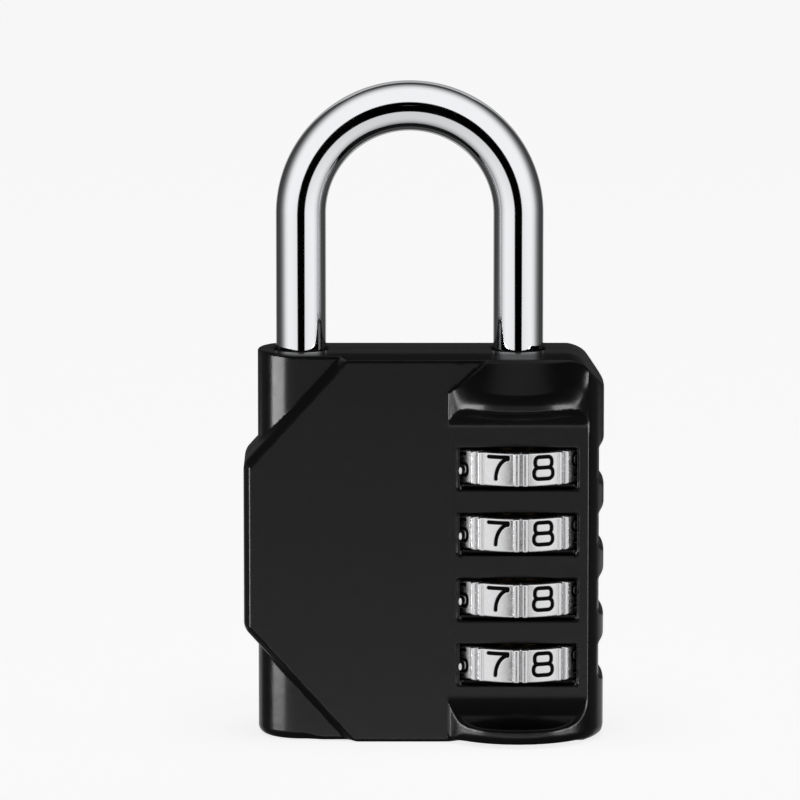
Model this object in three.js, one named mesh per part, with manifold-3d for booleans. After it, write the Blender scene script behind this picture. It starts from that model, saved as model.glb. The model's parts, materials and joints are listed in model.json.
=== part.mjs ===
// Four-dial combination padlock. Millimetres, +Z up, front facing -Y,
// origin at the middle of the base.
import * as THREE from 'three';
import { mergeVertices } from 'three/addons/utils/BufferGeometryUtils.js';
import Module from 'manifold-3d';

const wasm = await Module();
wasm.setup();

// ---- Driving dimensions ----

const caseHeight = 47.8;
const caseLeft = -22;
const caseRight = 22;
const coreHalfDepth = 5.25; // the case beside the plates
const plateHalfDepth = 6.6; // the raised plates front and rear
const plateBevelRun = 0.75;
const plateBevelRise = 1.2;
const plateCornerTopX = -9.65; // the two cut corners of a plate
const plateCornerUpperZ = 34.2;
const plateCornerLowerZ = 14.2;
const plateCornerBottomX = -9.1;
const topHalfDepth = 4.15; // flat top, before it slopes to the plates
const plateTopZ = 47.3; // where the slope from the flat top meets the plates
const rightShoulderX = 18.6; // where the top starts to slope down on the right
const rightShoulderZ = 43.6; // where that slope meets the side

const rodRadius = 3.05;
const shortLegX = -15;
const longLegX = 11.5; // also the dials' axis
const bowCentreZ = 64.4;
const lift = 7.5; // travel of the shackle
const shortLegEndZ = caseHeight + 0.3 - lift; // the lift brings this end just clear of the case
const rodEndZ = 40; // where the long leg narrows
const tailEndZ = 1.8;
const ringBottomZ = 2.2;
const ringHeight = 0.8;
const ringGrooveRadius = 1.7;

const dialCount = 4;
const dialRadius = 9.2;
const dialHeight = 4.1;
const dialPitch = 8.1;
const lowestDialZ = 9.9;
const digitCount = 10;

const bulgeRadius = 10.75; // the case round the dials
const bulgeFootRadius = 1.5;
const hoodUndersideZ = 41.3;
const hoodRootRadius = 2.3; // hollow between the hood's underside and the dial flat
const hoodShoulderZ = 43.1; // where the slope from the top ends
const hoodLeftFoot = [2.6, 42.94]; // [x, z] of the hood's slanted left shoulder, low end
const hoodLeftHead = [7, 46.8]; // and high end
const footLedgeZ = 2.4;
const footRootRadius = 3.5; // hollow between the foot's ledge and the dial flat

const columnRadius = 5.3; // round column over the short leg
const columnFootRadius = 1;
const columnTopCut = 0.4;

const chamberRadius = 9.4;
const chamberHalfHeight = 2.35;
const windowLeft = 4;
const windowRight = 18.8;
const windowAboveDial = 2.35; // from the dial's middle up to the window's top edge
const windowBelowDial = 2.85;
const landDepth = 0.2; // the step round the window, which carries the index mark
const windowWallDepth = 1.3;

const coreLegRadius = 2.2; // long leg inside the sleeves
const toothReach = 2.9;
const toothHalfWidth = 0.8;
const toothHeight = 1.2;
const toothBelowDial = 2.1; // from a dial's middle down to its tooth

const sleeveRadius = 4.2;
const sleeveHalfLength = 3.9;
const splineReach = 4.6;
const splineHalfWidth = 0.5;
const gateBelowTop = 3; // height of the narrow gate in a sleeve
const gateRadius = 2.45;
const sleeveBoreRadius = 3.25;
const sleeveTunnelRadius = 4.9;

const floorZ = 1.5; // inside of the case's floor
const tunnelTopZ = 39.4;
const legBoreRadius = 3.3;
const shortBoreBelowLeg = 0.4;
const hollowLeft = -12;
const hollowRight = 0.5;
const hollowHalfDepth = 4.4;
const hollowBottomZ = 5.5;
const hollowTopZ = 42.5;

const reliefDepth = 0.65; // the finger reliefs down the right side
const reliefHalfHeight = 2.25;
const reliefSlope = 0.35;
const sideSlotHalfDepth = 2.8;

const combThickness = 0.4; // the detent comb, which stands in the rear half of the hollow
const combY = 3; // its middle plane
const combLeft = -4;
const combSpineRight = -0.5;
const fingerHalfHeight = 0.8;
const fingerSlotHalfHeight = 1.3;
const fingerSlotHalfDepth = 0.9;
const fingerSlotEnd = 7; // how far left of the dials' axis the slots end
const knuckleRadius = 0.5;
const detentAngle = THREE.MathUtils.degToRad(162); // where the knuckles meet the dials
const combRivetX = -2.2;
const combRivetRadius = 0.7;
const combRivetHeadRadius = 1.4;
const combRivetHeadHeight = 0.6;
const combRivetTipY = 5.6;
const combHoleRadius = 0.85;
const bossRadius = 1.6;
const bossRootY = 5;

const rivetSpots = [
  [-17.6, 17],
  [-17.6, 31],
  [-1.5, 2.8],
  [-1.5, 45.2],
]; // [x, z] of the drive pins, driven in from the rear
const rivetShankRadius = 0.95;
const rivetHeadRadius = 1.6;
const rivetHeadHeight = 0.7;
const rivetTipY = -4.2;

const washerRadius = 4.5;
const thrustWasherZ = [5, 5.7];
const topWasherZ = [38.4, 39.1];
const springTurns = 3;
const springRadius = 4.05;
const springWireRadius = 0.3;
const springBottomZ = floorZ + 0.1;
const springTopZ = 4.8;

const markX = 4.42; // the index mark on the land at the left end of a window
const markRadius = 0.2;
const markStretch = 2.2;
const markHeight = 0.12;
const markBelowDial = 0.5;
const runningGap = 0.15;
const overcut = 2; // how far a cutter runs past what it cuts

const roundSides = 40;
const smallSides = 20;

// ---- Solids ----

/** A closed geometry as a manifold solid. */
function solid(geometry) {
  geometry.deleteAttribute('normal');
  geometry.deleteAttribute('uv');
  const merged = mergeVertices(geometry, 1e-5);
  return new wasm.Manifold(
    new wasm.Mesh({
      numProp: 3,
      vertProperties: new Float32Array(merged.attributes.position.array),
      triVerts: new Uint32Array(merged.index.array),
    }),
  );
}

/** A manifold solid back as a geometry. */
function geometryOf(manifold) {
  const mesh = manifold.getMesh();
  const geometry = new THREE.BufferGeometry();
  geometry.setAttribute('position', new THREE.BufferAttribute(mesh.vertProperties, 3));
  geometry.setIndex(new THREE.BufferAttribute(mesh.triVerts, 1));
  geometry.computeVertexNormals();
  return geometry;
}

function join(solids) {
  return solids.reduce((whole, next) => whole.add(next));
}

/** A box from its lowest to its highest corner. */
function block(low, high) {
  const size = high.map((value, i) => value - low[i]);
  const middle = high.map((value, i) => (value + low[i]) / 2);
  return solid(new THREE.BoxGeometry(...size).translate(...middle));
}

/** An upright cylinder. */
function post(x, y, radius, z0, z1, sides = roundSides) {
  const cylinder = new THREE.CylinderGeometry(radius, radius, z1 - z0, sides);
  return solid(cylinder.rotateX(Math.PI / 2).translate(x, y, (z0 + z1) / 2));
}

/** A cylinder along Y. */
function pin(x, z, radius, y0, y1, sides = smallSides) {
  const cylinder = new THREE.CylinderGeometry(radius, radius, y1 - y0, sides);
  return solid(cylinder.translate(x, (y0 + y1) / 2, z));
}

/** An outline of [x, y] points, or a Shape, raised from z0 to z1. */
function raised(outline, z0, z1) {
  const shape = outline instanceof THREE.Shape ? outline : shapeOf(outline);
  const options = { depth: z1 - z0, bevelEnabled: false, curveSegments: 6 };
  return solid(new THREE.ExtrudeGeometry(shape, options).translate(0, 0, z0));
}

/** An outline of [x, z] points, pushed along Y from y0 to y1. */
function pushed(points, y0, y1, bevel = {}) {
  const options = { depth: y1 - y0, bevelEnabled: false, ...bevel };
  const geometry = new THREE.ExtrudeGeometry(shapeOf(points), options);
  return solid(geometry.rotateX(Math.PI / 2).translate(0, y1, 0));
}

/** An outline of [y, z] points, pushed along X from x0 to x1. */
function pushedAcross(points, x0, x1) {
  const geometry = new THREE.ExtrudeGeometry(shapeOf(points), { depth: x1 - x0, bevelEnabled: false });
  return solid(geometry.rotateX(Math.PI / 2).rotateZ(Math.PI / 2).translate(x0, 0, 0));
}

function shapeOf(points) {
  return new THREE.Shape(points.map(([x, y]) => new THREE.Vector2(x, y)));
}

/** A round post whose foot is rounded and whose top edge is cut back. */
function footedPost(x, radius, footRadius, topCut) {
  const profile = [new THREE.Vector2(0, 0)];
  const steps = 4;
  for (let i = 0; i <= steps; i += 1) {
    const angle = (i / steps) * (Math.PI / 2);
    const r = radius - footRadius + footRadius * Math.sin(angle);
    profile.push(new THREE.Vector2(r, footRadius - footRadius * Math.cos(angle)));
  }
  profile.push(new THREE.Vector2(radius, caseHeight - topCut));
  profile.push(new THREE.Vector2(radius - topCut, caseHeight));
  profile.push(new THREE.Vector2(0, caseHeight));
  return solid(new THREE.LatheGeometry(profile, roundSides).rotateX(Math.PI / 2).translate(x, 0, 0));
}

/** A solid and its mirror image behind the middle plane, joined. */
function bothSides(manifold) {
  return manifold.add(manifold.mirror([0, 1, 0]));
}

const dialHeights = Array.from({ length: dialCount }, (_, i) => lowestDialZ + i * dialPitch);

// ---- Case ----

/** The plate's outline: an oblong with its two left corners cut off. */
function plateOutline(inset) {
  const cornerTop = [plateCornerTopX, caseHeight];
  const cornerUpper = [caseLeft + inset, plateCornerUpperZ];
  const cornerLower = [caseLeft + inset, plateCornerLowerZ];
  const cornerBottom = [plateCornerBottomX, 0];
  return [cornerBottom, [longLegX, 0], [longLegX, caseHeight], cornerTop, cornerUpper, cornerLower];
}

function caseBlank() {
  const bevel = {
    bevelEnabled: true,
    bevelSize: plateBevelRun,
    bevelThickness: plateBevelRise,
    bevelSegments: 1,
  };
  const straight = plateHalfDepth - plateBevelRise;
  const plate = pushed(plateOutline(plateBevelRun), -straight, straight, bevel);
  const core = block([shortLegX, -coreHalfDepth, 0], [longLegX, coreHalfDepth, caseHeight]);
  const column = footedPost(shortLegX, columnRadius, columnFootRadius, columnTopCut);
  const bulge = footedPost(longLegX, bulgeRadius, bulgeFootRadius, 0);
  const envelope = block([caseLeft, -bulgeRadius, 0], [caseRight, bulgeRadius, caseHeight]);
  return join([plate, core, column, bulge]).intersect(envelope);
}

/** What slopes the top away in front: gently as far as the plate, steeply over the hood. */
function frontTopCutter() {
  const above = caseHeight + overcut;
  const steepness = (plateTopZ - hoodShoulderZ) / (bulgeRadius - plateHalfDepth);
  const outline = [
    [-topHalfDepth, caseHeight],
    [-topHalfDepth, above],
    [-bulgeRadius - overcut, above],
    [-bulgeRadius - overcut, hoodShoulderZ - steepness * overcut],
    [-plateHalfDepth, plateTopZ],
  ];
  return pushedAcross(outline, caseLeft - overcut, caseRight + overcut);
}

/** The slanted left shoulder of the hood, in front of the plate. */
function hoodShoulderCutter() {
  const outline = [
    hoodLeftFoot,
    hoodLeftHead,
    [hoodLeftHead[0] + 0.4, caseHeight + overcut],
    [hollowRight, caseHeight + overcut],
    [hollowRight, hoodLeftFoot[1]],
  ];
  return pushed(outline, -bulgeRadius - overcut, -plateHalfDepth);
}

/** A hollow quarter round in the Y-Z plane, from the plate's face round to a ledge. */
function rootArc(ledgeZ, radius, side) {
  const steps = 4;
  return Array.from({ length: steps + 1 }, (_, i) => {
    const angle = (i / steps) * (Math.PI / 2);
    const y = plateHalfDepth + radius * (1 - Math.cos(angle));
    return [-y, ledgeZ + side * radius * (1 - Math.sin(angle))];
  });
}

/** Cuts the bulge back to the plate where the dials show, between hood and foot. */
function dialFlatCutter() {
  const far = bulgeRadius + overcut;
  const foot = rootArc(footLedgeZ, footRootRadius, 1);
  const hood = rootArc(hoodUndersideZ, hoodRootRadius, -1).reverse();
  const outline = [...foot, [-far, footLedgeZ], [-far, hoodUndersideZ], ...hood];
  return pushedAcross(outline, hollowRight, caseRight + overcut);
}

/** The finger reliefs down the right side, with the slots that show the dials. */
function sideReliefCutter() {
  const slope = reliefSlope;
  const floorX = caseRight - reliefDepth;
  return join(
    dialHeights.flatMap((z) => [
      pushed(
        [
          [floorX, z - reliefHalfHeight + slope],
          [caseRight + 0.01, z - reliefHalfHeight - slope],
          [caseRight + overcut, z - reliefHalfHeight - slope],
          [caseRight + overcut, z + reliefHalfHeight + slope],
          [caseRight + 0.01, z + reliefHalfHeight + slope],
          [floorX, z + reliefHalfHeight - slope],
        ],
        -bulgeRadius,
        bulgeRadius,
      ),
      block(
        [longLegX + chamberRadius / 2, -sideSlotHalfDepth, z - chamberHalfHeight + slope],
        [caseRight + overcut, sideSlotHalfDepth, z + chamberHalfHeight - slope],
      ),
    ]),
  );
}

/** The right shoulder seen from the front, cut through the full depth. */
function rightShoulderCutter() {
  const outline = [
    [rightShoulderX, caseHeight],
    [caseRight, rightShoulderZ],
    [caseRight + overcut, rightShoulderZ],
    [caseRight + overcut, caseHeight + overcut],
    [rightShoulderX, caseHeight + overcut],
  ];
  return pushed(outline, -bulgeRadius - overcut, bulgeRadius + overcut);
}

/** Dial chambers, windows, the sleeves' tunnel, the leg bores and the hollow left of the dials. */
function caseHollows() {
  const chambers = dialHeights.map((z) =>
    post(longLegX, 0, chamberRadius, z - chamberHalfHeight, z + chamberHalfHeight, 60),
  );
  const landY = landDepth - plateHalfDepth;
  const openingHalfWidth = Math.sqrt(chamberRadius ** 2 - landY ** 2);
  const windows = dialHeights.flatMap((z) => {
    const bottom = z - windowBelowDial;
    const top = z + windowAboveDial;
    const land = block([windowLeft, -bulgeRadius, bottom], [windowRight, landY, top]);
    const opening = block(
      [longLegX - openingHalfWidth, -bulgeRadius, bottom],
      [longLegX + openingHalfWidth, windowWallDepth - plateHalfDepth, top],
    );
    return [bothSides(land), bothSides(opening)];
  });
  const tunnel = post(longLegX, 0, sleeveTunnelRadius, floorZ, tunnelTopZ);
  const longBore = post(longLegX, 0, legBoreRadius, floorZ, caseHeight + overcut);
  const shortBore = post(shortLegX, 0, legBoreRadius, shortLegEndZ - shortBoreBelowLeg, caseHeight + overcut);
  const hollow = block(
    [hollowLeft, -hollowHalfDepth, hollowBottomZ],
    [hollowRight, hollowHalfDepth, hollowTopZ],
  );
  return join([...chambers, ...windows, tunnel, longBore, shortBore, hollow]);
}

// The comb's fingers reach through the hollow's wall, and its two rivets stand between dials.
const combRivetHeights = [0, 2].map((i) => dialHeights[i] + dialPitch / 2);
const knuckleOrbit = dialRadius + runningGap + knuckleRadius;
const knuckleX = longLegX + knuckleOrbit * Math.cos(detentAngle);
const knuckleY = knuckleOrbit * Math.sin(detentAngle);

function fingerSlots() {
  const slots = dialHeights.map((z) =>
    block(
      [hollowRight - 1, knuckleY - fingerSlotHalfDepth, z - fingerSlotHalfHeight],
      [longLegX - fingerSlotEnd, knuckleY + fingerSlotHalfDepth, z + fingerSlotHalfHeight],
    ),
  );
  return join(slots);
}

function combBosses() {
  const bosses = combRivetHeights.map((z) =>
    pin(combRivetX, z, bossRadius, combY + combThickness / 2, bossRootY),
  );
  return join(bosses);
}

function rivetHoles() {
  const holes = rivetSpots.flatMap(([x, z]) => [
    pin(x, z, rivetShankRadius + runningGap, rivetTipY - 0.3, plateHalfDepth + overcut),
    pin(x, z, rivetHeadRadius + 0.2, plateHalfDepth - rivetHeadHeight - 0.1, plateHalfDepth + overcut),
  ]);
  return join(holes);
}

function caseSolid() {
  return caseBlank()
    .subtract(bothSides(join([frontTopCutter(), hoodShoulderCutter(), dialFlatCutter()])))
    .subtract(rightShoulderCutter())
    .subtract(sideReliefCutter())
    .subtract(caseHollows())
    .subtract(fingerSlots())
    .subtract(rivetHoles());
}

function shellSolids() {
  const whole = caseSolid();
  const size = 2 * caseHeight;
  const front = whole.intersect(block([-size, -size, -size], [size, 0, size]));
  const rear = whole.intersect(block([-size, 0, -size], [size, size, size]));
  const combHoles = combRivetHeights.map((z) => pin(combRivetX, z, combHoleRadius, 0, combRivetTipY + 0.2));
  return { front, rear: rear.add(combBosses()).subtract(join(combHoles)) };
}

// ---- Shackle ----

/** The shackle's centre line: up the short leg, round the bow and down the long leg. */
class ShackleLine extends THREE.Curve {
  constructor(shortEndZ, longEndZ) {
    super();
    this.radius = (longLegX - shortLegX) / 2;
    this.rise = bowCentreZ - shortEndZ;
    this.bend = Math.PI * this.radius;
    this.fall = bowCentreZ - longEndZ;
  }

  getPoint(t) {
    const along = t * (this.rise + this.bend + this.fall);
    if (along < this.rise) return new THREE.Vector3(shortLegX, 0, bowCentreZ - this.rise + along);
    const past = along - this.rise;
    if (past > this.bend) return new THREE.Vector3(longLegX, 0, bowCentreZ - (past - this.bend));
    const angle = Math.PI - past / this.radius;
    const middle = (longLegX + shortLegX) / 2;
    const x = middle + this.radius * Math.cos(angle);
    return new THREE.Vector3(x, 0, bowCentreZ + this.radius * Math.sin(angle));
  }
}

function shackleSolid() {
  const section = new THREE.Shape().absarc(0, 0, rodRadius, 0, 2 * Math.PI);
  const options = {
    steps: 48,
    curveSegments: smallSides / 2, // an arc is drawn with twice as many sides
    bevelEnabled: false,
    extrudePath: new ShackleLine(shortLegEndZ, rodEndZ),
  };
  const bow = solid(new THREE.ExtrudeGeometry(section, options));
  const tail = post(longLegX, 0, coreLegRadius, tailEndZ, rodEndZ + 1, smallSides);
  const teeth = dialHeights.map((z) => {
    const foot = z - toothBelowDial;
    return block([longLegX - toothHalfWidth, 0, foot], [longLegX + toothHalfWidth, toothReach, foot + toothHeight]);
  });
  const groove = post(longLegX, 0, coreLegRadius + 1, ringBottomZ - 0.1, ringBottomZ + ringHeight + 0.1);
  const neck = post(longLegX, 0, ringGrooveRadius, ringBottomZ - 1, ringBottomZ + ringHeight + 1, smallSides);
  return join([bow, tail, ...teeth]).subtract(groove.subtract(neck));
}

function ringSolid(inner, outer, z0, z1, sides = smallSides) {
  return post(longLegX, 0, outer, z0, z1, sides).subtract(post(longLegX, 0, inner, z0 - 1, z1 + 1, sides));
}

// ---- Dials and sleeves ----

/** A round outline with ten keys standing out of it, for the sleeve and for the dial's bore. */
function splineOutline(baseRadius, keyReach, keyHalfWidth) {
  const outline = [];
  for (let i = 0; i < digitCount; i += 1) {
    const middle = (2 * Math.PI * i) / digitCount;
    const atBase = Math.asin(keyHalfWidth / baseRadius);
    const atTip = Math.asin(keyHalfWidth / keyReach);
    const between = middle + Math.PI / digitCount;
    outline.push(
      [baseRadius, middle - atBase],
      [keyReach, middle - atTip],
      [keyReach, middle + atTip],
      [baseRadius, middle + atBase],
      [baseRadius, between],
    );
  }
  return outline.map(([r, angle]) => [longLegX + r * Math.cos(angle), r * Math.sin(angle)]);
}

/** A dial's rim: at each tenth of a turn two ribs with a click groove between, and a face beside them. */
function dialOutline() {
  const ribsAndFace = [
    [-4.4, dialRadius],
    [-1.9, dialRadius],
    [-1, dialRadius - 0.4],
    [1, dialRadius - 0.4],
    [1.9, dialRadius],
    [4.4, dialRadius],
    [5.2, dialRadius - 0.2],
    [18, dialRadius - 0.25],
    [30.8, dialRadius - 0.2],
  ];
  const outline = [];
  for (let i = 0; i < digitCount; i += 1) {
    const start = (360 / digitCount) * i - 90;
    for (const [offset, r] of ribsAndFace) {
      const angle = THREE.MathUtils.degToRad(start + offset);
      outline.push([longLegX + r * Math.cos(angle), r * Math.sin(angle)]);
    }
  }
  return outline;
}

function dialSolid(z) {
  const shape = shapeOf(dialOutline());
  const bore = splineOutline(sleeveRadius + runningGap, splineReach + runningGap, splineHalfWidth + runningGap);
  shape.holes.push(new THREE.Path(bore.map(([x, y]) => new THREE.Vector2(x, y))));
  return raised(shape, z - dialHeight / 2, z + dialHeight / 2);
}

function sleeveSolid(z) {
  const top = z + sleeveHalfLength;
  const bottom = z - sleeveHalfLength;
  const notchReach = toothReach + 0.3;
  const notchHalfWidth = toothHalfWidth + 0.2;
  return raised(splineOutline(sleeveRadius, splineReach, splineHalfWidth), bottom, top)
    .subtract(post(longLegX, 0, gateRadius, bottom - 1, top + 1, smallSides))
    .subtract(post(longLegX, 0, sleeveBoreRadius, bottom - 1, top - gateBelowTop, smallSides))
    .subtract(
      block([longLegX - notchHalfWidth, 0, bottom - 1], [longLegX + notchHalfWidth, notchReach, top + 1]),
    );
}

// ---- Springs and small parts ----

/** A helix for the spring under the sleeves. */
class SpringLine extends THREE.Curve {
  getPoint(t) {
    const angle = 2 * Math.PI * springTurns * t;
    const z = THREE.MathUtils.lerp(springBottomZ + springWireRadius, springTopZ - springWireRadius, t);
    return new THREE.Vector3(longLegX + springRadius * Math.cos(angle), springRadius * Math.sin(angle), z);
  }
}

function springSolid() {
  const section = new THREE.Shape().absarc(0, 0, springWireRadius, 0, 2 * Math.PI);
  const options = { steps: 42, curveSegments: 4, bevelEnabled: false, extrudePath: new SpringLine() };
  return solid(new THREE.ExtrudeGeometry(section, options));
}

/** The detent comb: a spine with one finger for each dial, ending in a round knuckle. */
function combSolid() {
  const y0 = combY - combThickness / 2;
  const y1 = combY + combThickness / 2;
  const spineBottom = dialHeights[0] - fingerHalfHeight;
  const spineTop = dialHeights[dialCount - 1] + fingerHalfHeight;
  const spine = block([combLeft, y0, spineBottom], [combSpineRight, y1, spineTop]);
  const fingers = dialHeights.flatMap((z) => [
    block([combSpineRight - combThickness, y0, z - fingerHalfHeight], [knuckleX, y1, z + fingerHalfHeight]),
    post(knuckleX, knuckleY, knuckleRadius, z - fingerHalfHeight, z + fingerHalfHeight, 12),
  ]);
  const holes = combRivetHeights.map((z) => pin(combRivetX, z, combHoleRadius, 0, bossRootY));
  return join([spine, ...fingers]).subtract(join(holes));
}

function detentRivetSolid(z) {
  const faceY = combY - combThickness / 2 - 0.02;
  const headY = faceY - combRivetHeadHeight;
  return join([
    pin(combRivetX, z, combRivetRadius, headY + 0.1, combRivetTipY, 12),
    pin(combRivetX, z, combRivetHeadRadius, headY, faceY, 12),
  ]);
}

function caseRivetSolid([x, z]) {
  const headY = plateHalfDepth - rivetHeadHeight;
  return join([
    pin(x, z, rivetShankRadius, rivetTipY, headY + 0.1, 16),
    pin(x, z, rivetHeadRadius, headY, plateHalfDepth - 0.05, 16),
  ]);
}

/** An enamel index mark on the small land at the left end of a window. */
function markSolid(z) {
  const landY = landDepth - plateHalfDepth;
  const mark = new THREE.CylinderGeometry(markRadius, markRadius, markHeight, 16);
  mark.scale(1, 1, markStretch);
  return solid(mark.translate(markX, landY - markHeight / 2, z - markBelowDial));
}

// ---- Assembly ----

const looks = {
  blackPaint: { color: 0x0c0d0e, roughness: 0.3, metalness: 0.2 },
  chrome: { color: 0xdfe1e3, roughness: 0.08, metalness: 1 },
  satinSilver: { color: 0xc4c5c6, roughness: 0.35, metalness: 1 },
  brass: { color: 0xb9974e, roughness: 0.35, metalness: 1 },
  springSteel: { color: 0x8d9094, roughness: 0.4, metalness: 1 },
  whiteEnamel: { color: 0xf2f2ee, roughness: 0.5, metalness: 0 },
};

const padlock = new THREE.Group();

function place(name, manifold, look) {
  const mesh = new THREE.Mesh(geometryOf(manifold), new THREE.MeshStandardMaterial(looks[look]));
  mesh.name = name;
  padlock.add(mesh);
}

const shells = shellSolids();
place('front_shell', shells.front, 'blackPaint');
place('rear_shell', shells.rear, 'blackPaint');
place('shackle', shackleSolid(), 'chrome');
const ringTopZ = ringBottomZ + ringHeight;
place('stop_ring', ringSolid(ringGrooveRadius + 0.1, toothReach, ringBottomZ, ringTopZ), 'springSteel');
dialHeights.forEach((z, i) => {
  place(`dial_${i + 1}`, dialSolid(z), 'satinSilver');
  place(`sleeve_${i + 1}`, sleeveSolid(z), 'brass');
  place(`index_mark_${i + 1}`, markSolid(z), 'whiteEnamel');
});
place('sleeve_spring', springSolid(), 'springSteel');
place('thrust_washer', ringSolid(legBoreRadius + 0.1, washerRadius, ...thrustWasherZ), 'brass');
place('top_washer', ringSolid(legBoreRadius, washerRadius, ...topWasherZ), 'brass');
place('detent_spring', combSolid(), 'springSteel');
combRivetHeights.forEach((z, i) => place(`detent_rivet_${i + 1}`, detentRivetSolid(z), 'brass'));
rivetSpots.forEach((spot, i) => place(`case_rivet_${i + 1}`, caseRivetSolid(spot), 'blackPaint'));

export default padlock;
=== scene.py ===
"""A four-dial combination padlock: the finished surfaces, materials, light and camera
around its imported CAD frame. Shapes are worked out in millimetres and made in metres."""

import itertools
import json
import math

import bpy
import numpy as np
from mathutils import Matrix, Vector


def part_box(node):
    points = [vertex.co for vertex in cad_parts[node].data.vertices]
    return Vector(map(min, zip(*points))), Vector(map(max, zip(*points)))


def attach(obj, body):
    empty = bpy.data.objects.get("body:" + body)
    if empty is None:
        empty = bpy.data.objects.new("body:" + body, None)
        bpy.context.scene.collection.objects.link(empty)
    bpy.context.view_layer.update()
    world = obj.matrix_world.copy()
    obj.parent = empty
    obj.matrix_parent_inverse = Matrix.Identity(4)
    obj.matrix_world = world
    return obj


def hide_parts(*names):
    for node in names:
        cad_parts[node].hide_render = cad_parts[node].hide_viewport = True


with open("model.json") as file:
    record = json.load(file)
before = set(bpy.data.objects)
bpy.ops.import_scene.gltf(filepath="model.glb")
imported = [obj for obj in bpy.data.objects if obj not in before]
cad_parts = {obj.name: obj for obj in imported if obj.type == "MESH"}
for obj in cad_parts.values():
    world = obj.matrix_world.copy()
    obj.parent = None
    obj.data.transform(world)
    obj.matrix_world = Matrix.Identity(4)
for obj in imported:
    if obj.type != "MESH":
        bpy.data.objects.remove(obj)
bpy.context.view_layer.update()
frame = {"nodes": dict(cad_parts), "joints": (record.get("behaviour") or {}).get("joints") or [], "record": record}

MM = 0.001


# ---- Sizes from the frame, in millimetres ----


def box_mm(node):
    low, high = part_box(node)
    return np.array(low) / MM, np.array(high) / MM


joints = {joint["name"]: joint for joint in frame["joints"]}
mounts = {mount["name"]: mount for mount in frame["record"]["mounts"]}
dial_names = sorted(name for name in frame["nodes"] if name.startswith("dial_"))
dial_heights = [joints[name + "_turn"]["pos_m"][2] / MM for name in dial_names]
axis_x = joints["dial_1_turn"]["pos_m"][0] / MM

case_low, case_high = box_mm("front_shell")
CASE_LEFT, CASE_RIGHT, CASE_TOP = case_low[0], case_high[0], case_high[2]
BULGE_RADIUS = -case_low[1]
PLATE_Y = mounts["rear_plate"]["pos_m"][1] / MM

shackle_low, shackle_high = box_mm("shackle")
ROD_RADIUS = (shackle_high[1] - shackle_low[1]) / 2
SHORT_LEG_X = shackle_low[0] + ROD_RADIUS
BOW_X = (axis_x + SHORT_LEG_X) / 2
BOW_RADIUS = (axis_x - SHORT_LEG_X) / 2
BOW_Z = shackle_high[2] - ROD_RADIUS - BOW_RADIUS

dial_low, dial_high = box_mm("dial_1")
DIAL_RADIUS = (dial_high[1] - dial_low[1]) / 2
DIAL_HALF_HEIGHT = (dial_high[2] - dial_low[2]) / 2

# Case details that the frame doesn't state: depths and radii from the middle, heights from the base.
CORE_Y = 5.25
COLUMN_RADIUS = 5.3
TOP_FLAT_Y = 4.15
PLATE_TOP_Z = 47.3
PLATE_UPPER_CUT = ((-9.9, CASE_TOP), (CASE_LEFT, 34.4))
PLATE_LOWER_CUT = ((CASE_LEFT, 14.0), (-9.4, 0))
PLATE_BEVEL_RUN, PLATE_BEVEL_RISE = 0.75, 1.25
RIGHT_SHOULDER = ((18.7, CASE_TOP), (CASE_RIGHT, 43.6))
HOOD_SHOULDER_Z = 43.1
HOOD_UNDERSIDE_Z = 41.3
HOOD_ROOT = 2.3
HOOD_LEFT_SHOULDER = ((7.0, 46.8), (2.9, 43.2))
FOOT_LEDGE_Z = 2.4
FOOT_ROOT = 3.5
FOOT_HEEL_X, FOOT_HEEL_RADIUS = 2.8, 1.9
RELIEF_DEPTH, RELIEF_FLOOR_HALF, RELIEF_HALF = 0.65, 1.95, 2.6
CHAMBER_RADIUS = 9.4
CHAMBER_HALF_HEIGHT = 2.35
WINDOW_BELOW_DIAL = 2.85
WINDOW_LEFT, WINDOW_RIGHT = 4.0, 18.8
LAND_Y = PLATE_Y - 0.22
LEG_BORE = 3.3
SIDE_SLOT_Y, SIDE_SLOT_HALF_HEIGHT = 2.8, 2
TUNNEL_RADIUS = 4.9
FLOOR_Z, TUNNEL_TOP_Z = 1.5, 39.4
INNER_HOLLOW = ((-12, None, 5.5), (0.5, 4.4, 42.5))
COMB_BOSS_RADIUS, COMB_BOSS_BACK_Y, COMB_RIVET_HOLE = 1.6, 5, 0.85
FINGER_SLOT_X, FINGER_SLOT_HALF_HEIGHT = (-0.5, 4.5), 1.3
PIN_HOLE_RADIUS, PIN_HEAD_SEAT = 1.1, 0.8


# ---- Shapes as signed distance fields: negative inside, millimetres ----


def rounded_cut(a, b, radius):
    """What is inside both a and b, its outer edge rounded."""
    return np.minimum(np.maximum(a, b), -radius) + np.hypot(
        np.maximum(a + radius, 0), np.maximum(b + radius, 0)
    )


def rounded_join(a, b, radius):
    """What is inside a or b, its inner corner filled to a radius."""
    return -rounded_cut(-a, -b, radius)


def beside(u, v, start, end):
    """Distance from the line start-end, positive on its left side."""
    along = np.subtract(end, start)
    length = math.hypot(*along)
    return (along[0] * (v - start[1]) - along[1] * (u - start[0])) / length


def ramp(value, start, end):
    """0 before start, 1 after end, smooth between."""
    t = np.clip((value - start) / (end - start), 0, 1)
    return t * t * (3 - 2 * t)


def block(x, y, z, low, high):
    """A box; a None leaves that side open."""
    faces = []
    for value, start, end in zip((x, y, z), low, high):
        if start is not None:
            faces.append(start - value)
        if end is not None:
            faces.append(value - end)
    result = faces[0]
    for face in faces[1:]:
        result = np.maximum(result, face)
    return result


def plate_edge(x, z):
    """The raised plate's outline: straight on the left, its two left corners cut off."""
    corner_radius = 0.5
    left = CASE_LEFT - x
    upper, lower = -beside(x, z, *PLATE_UPPER_CUT), -beside(x, z, *PLATE_LOWER_CUT)
    return rounded_cut(rounded_cut(left, upper, corner_radius), lower, corner_radius)


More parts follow.
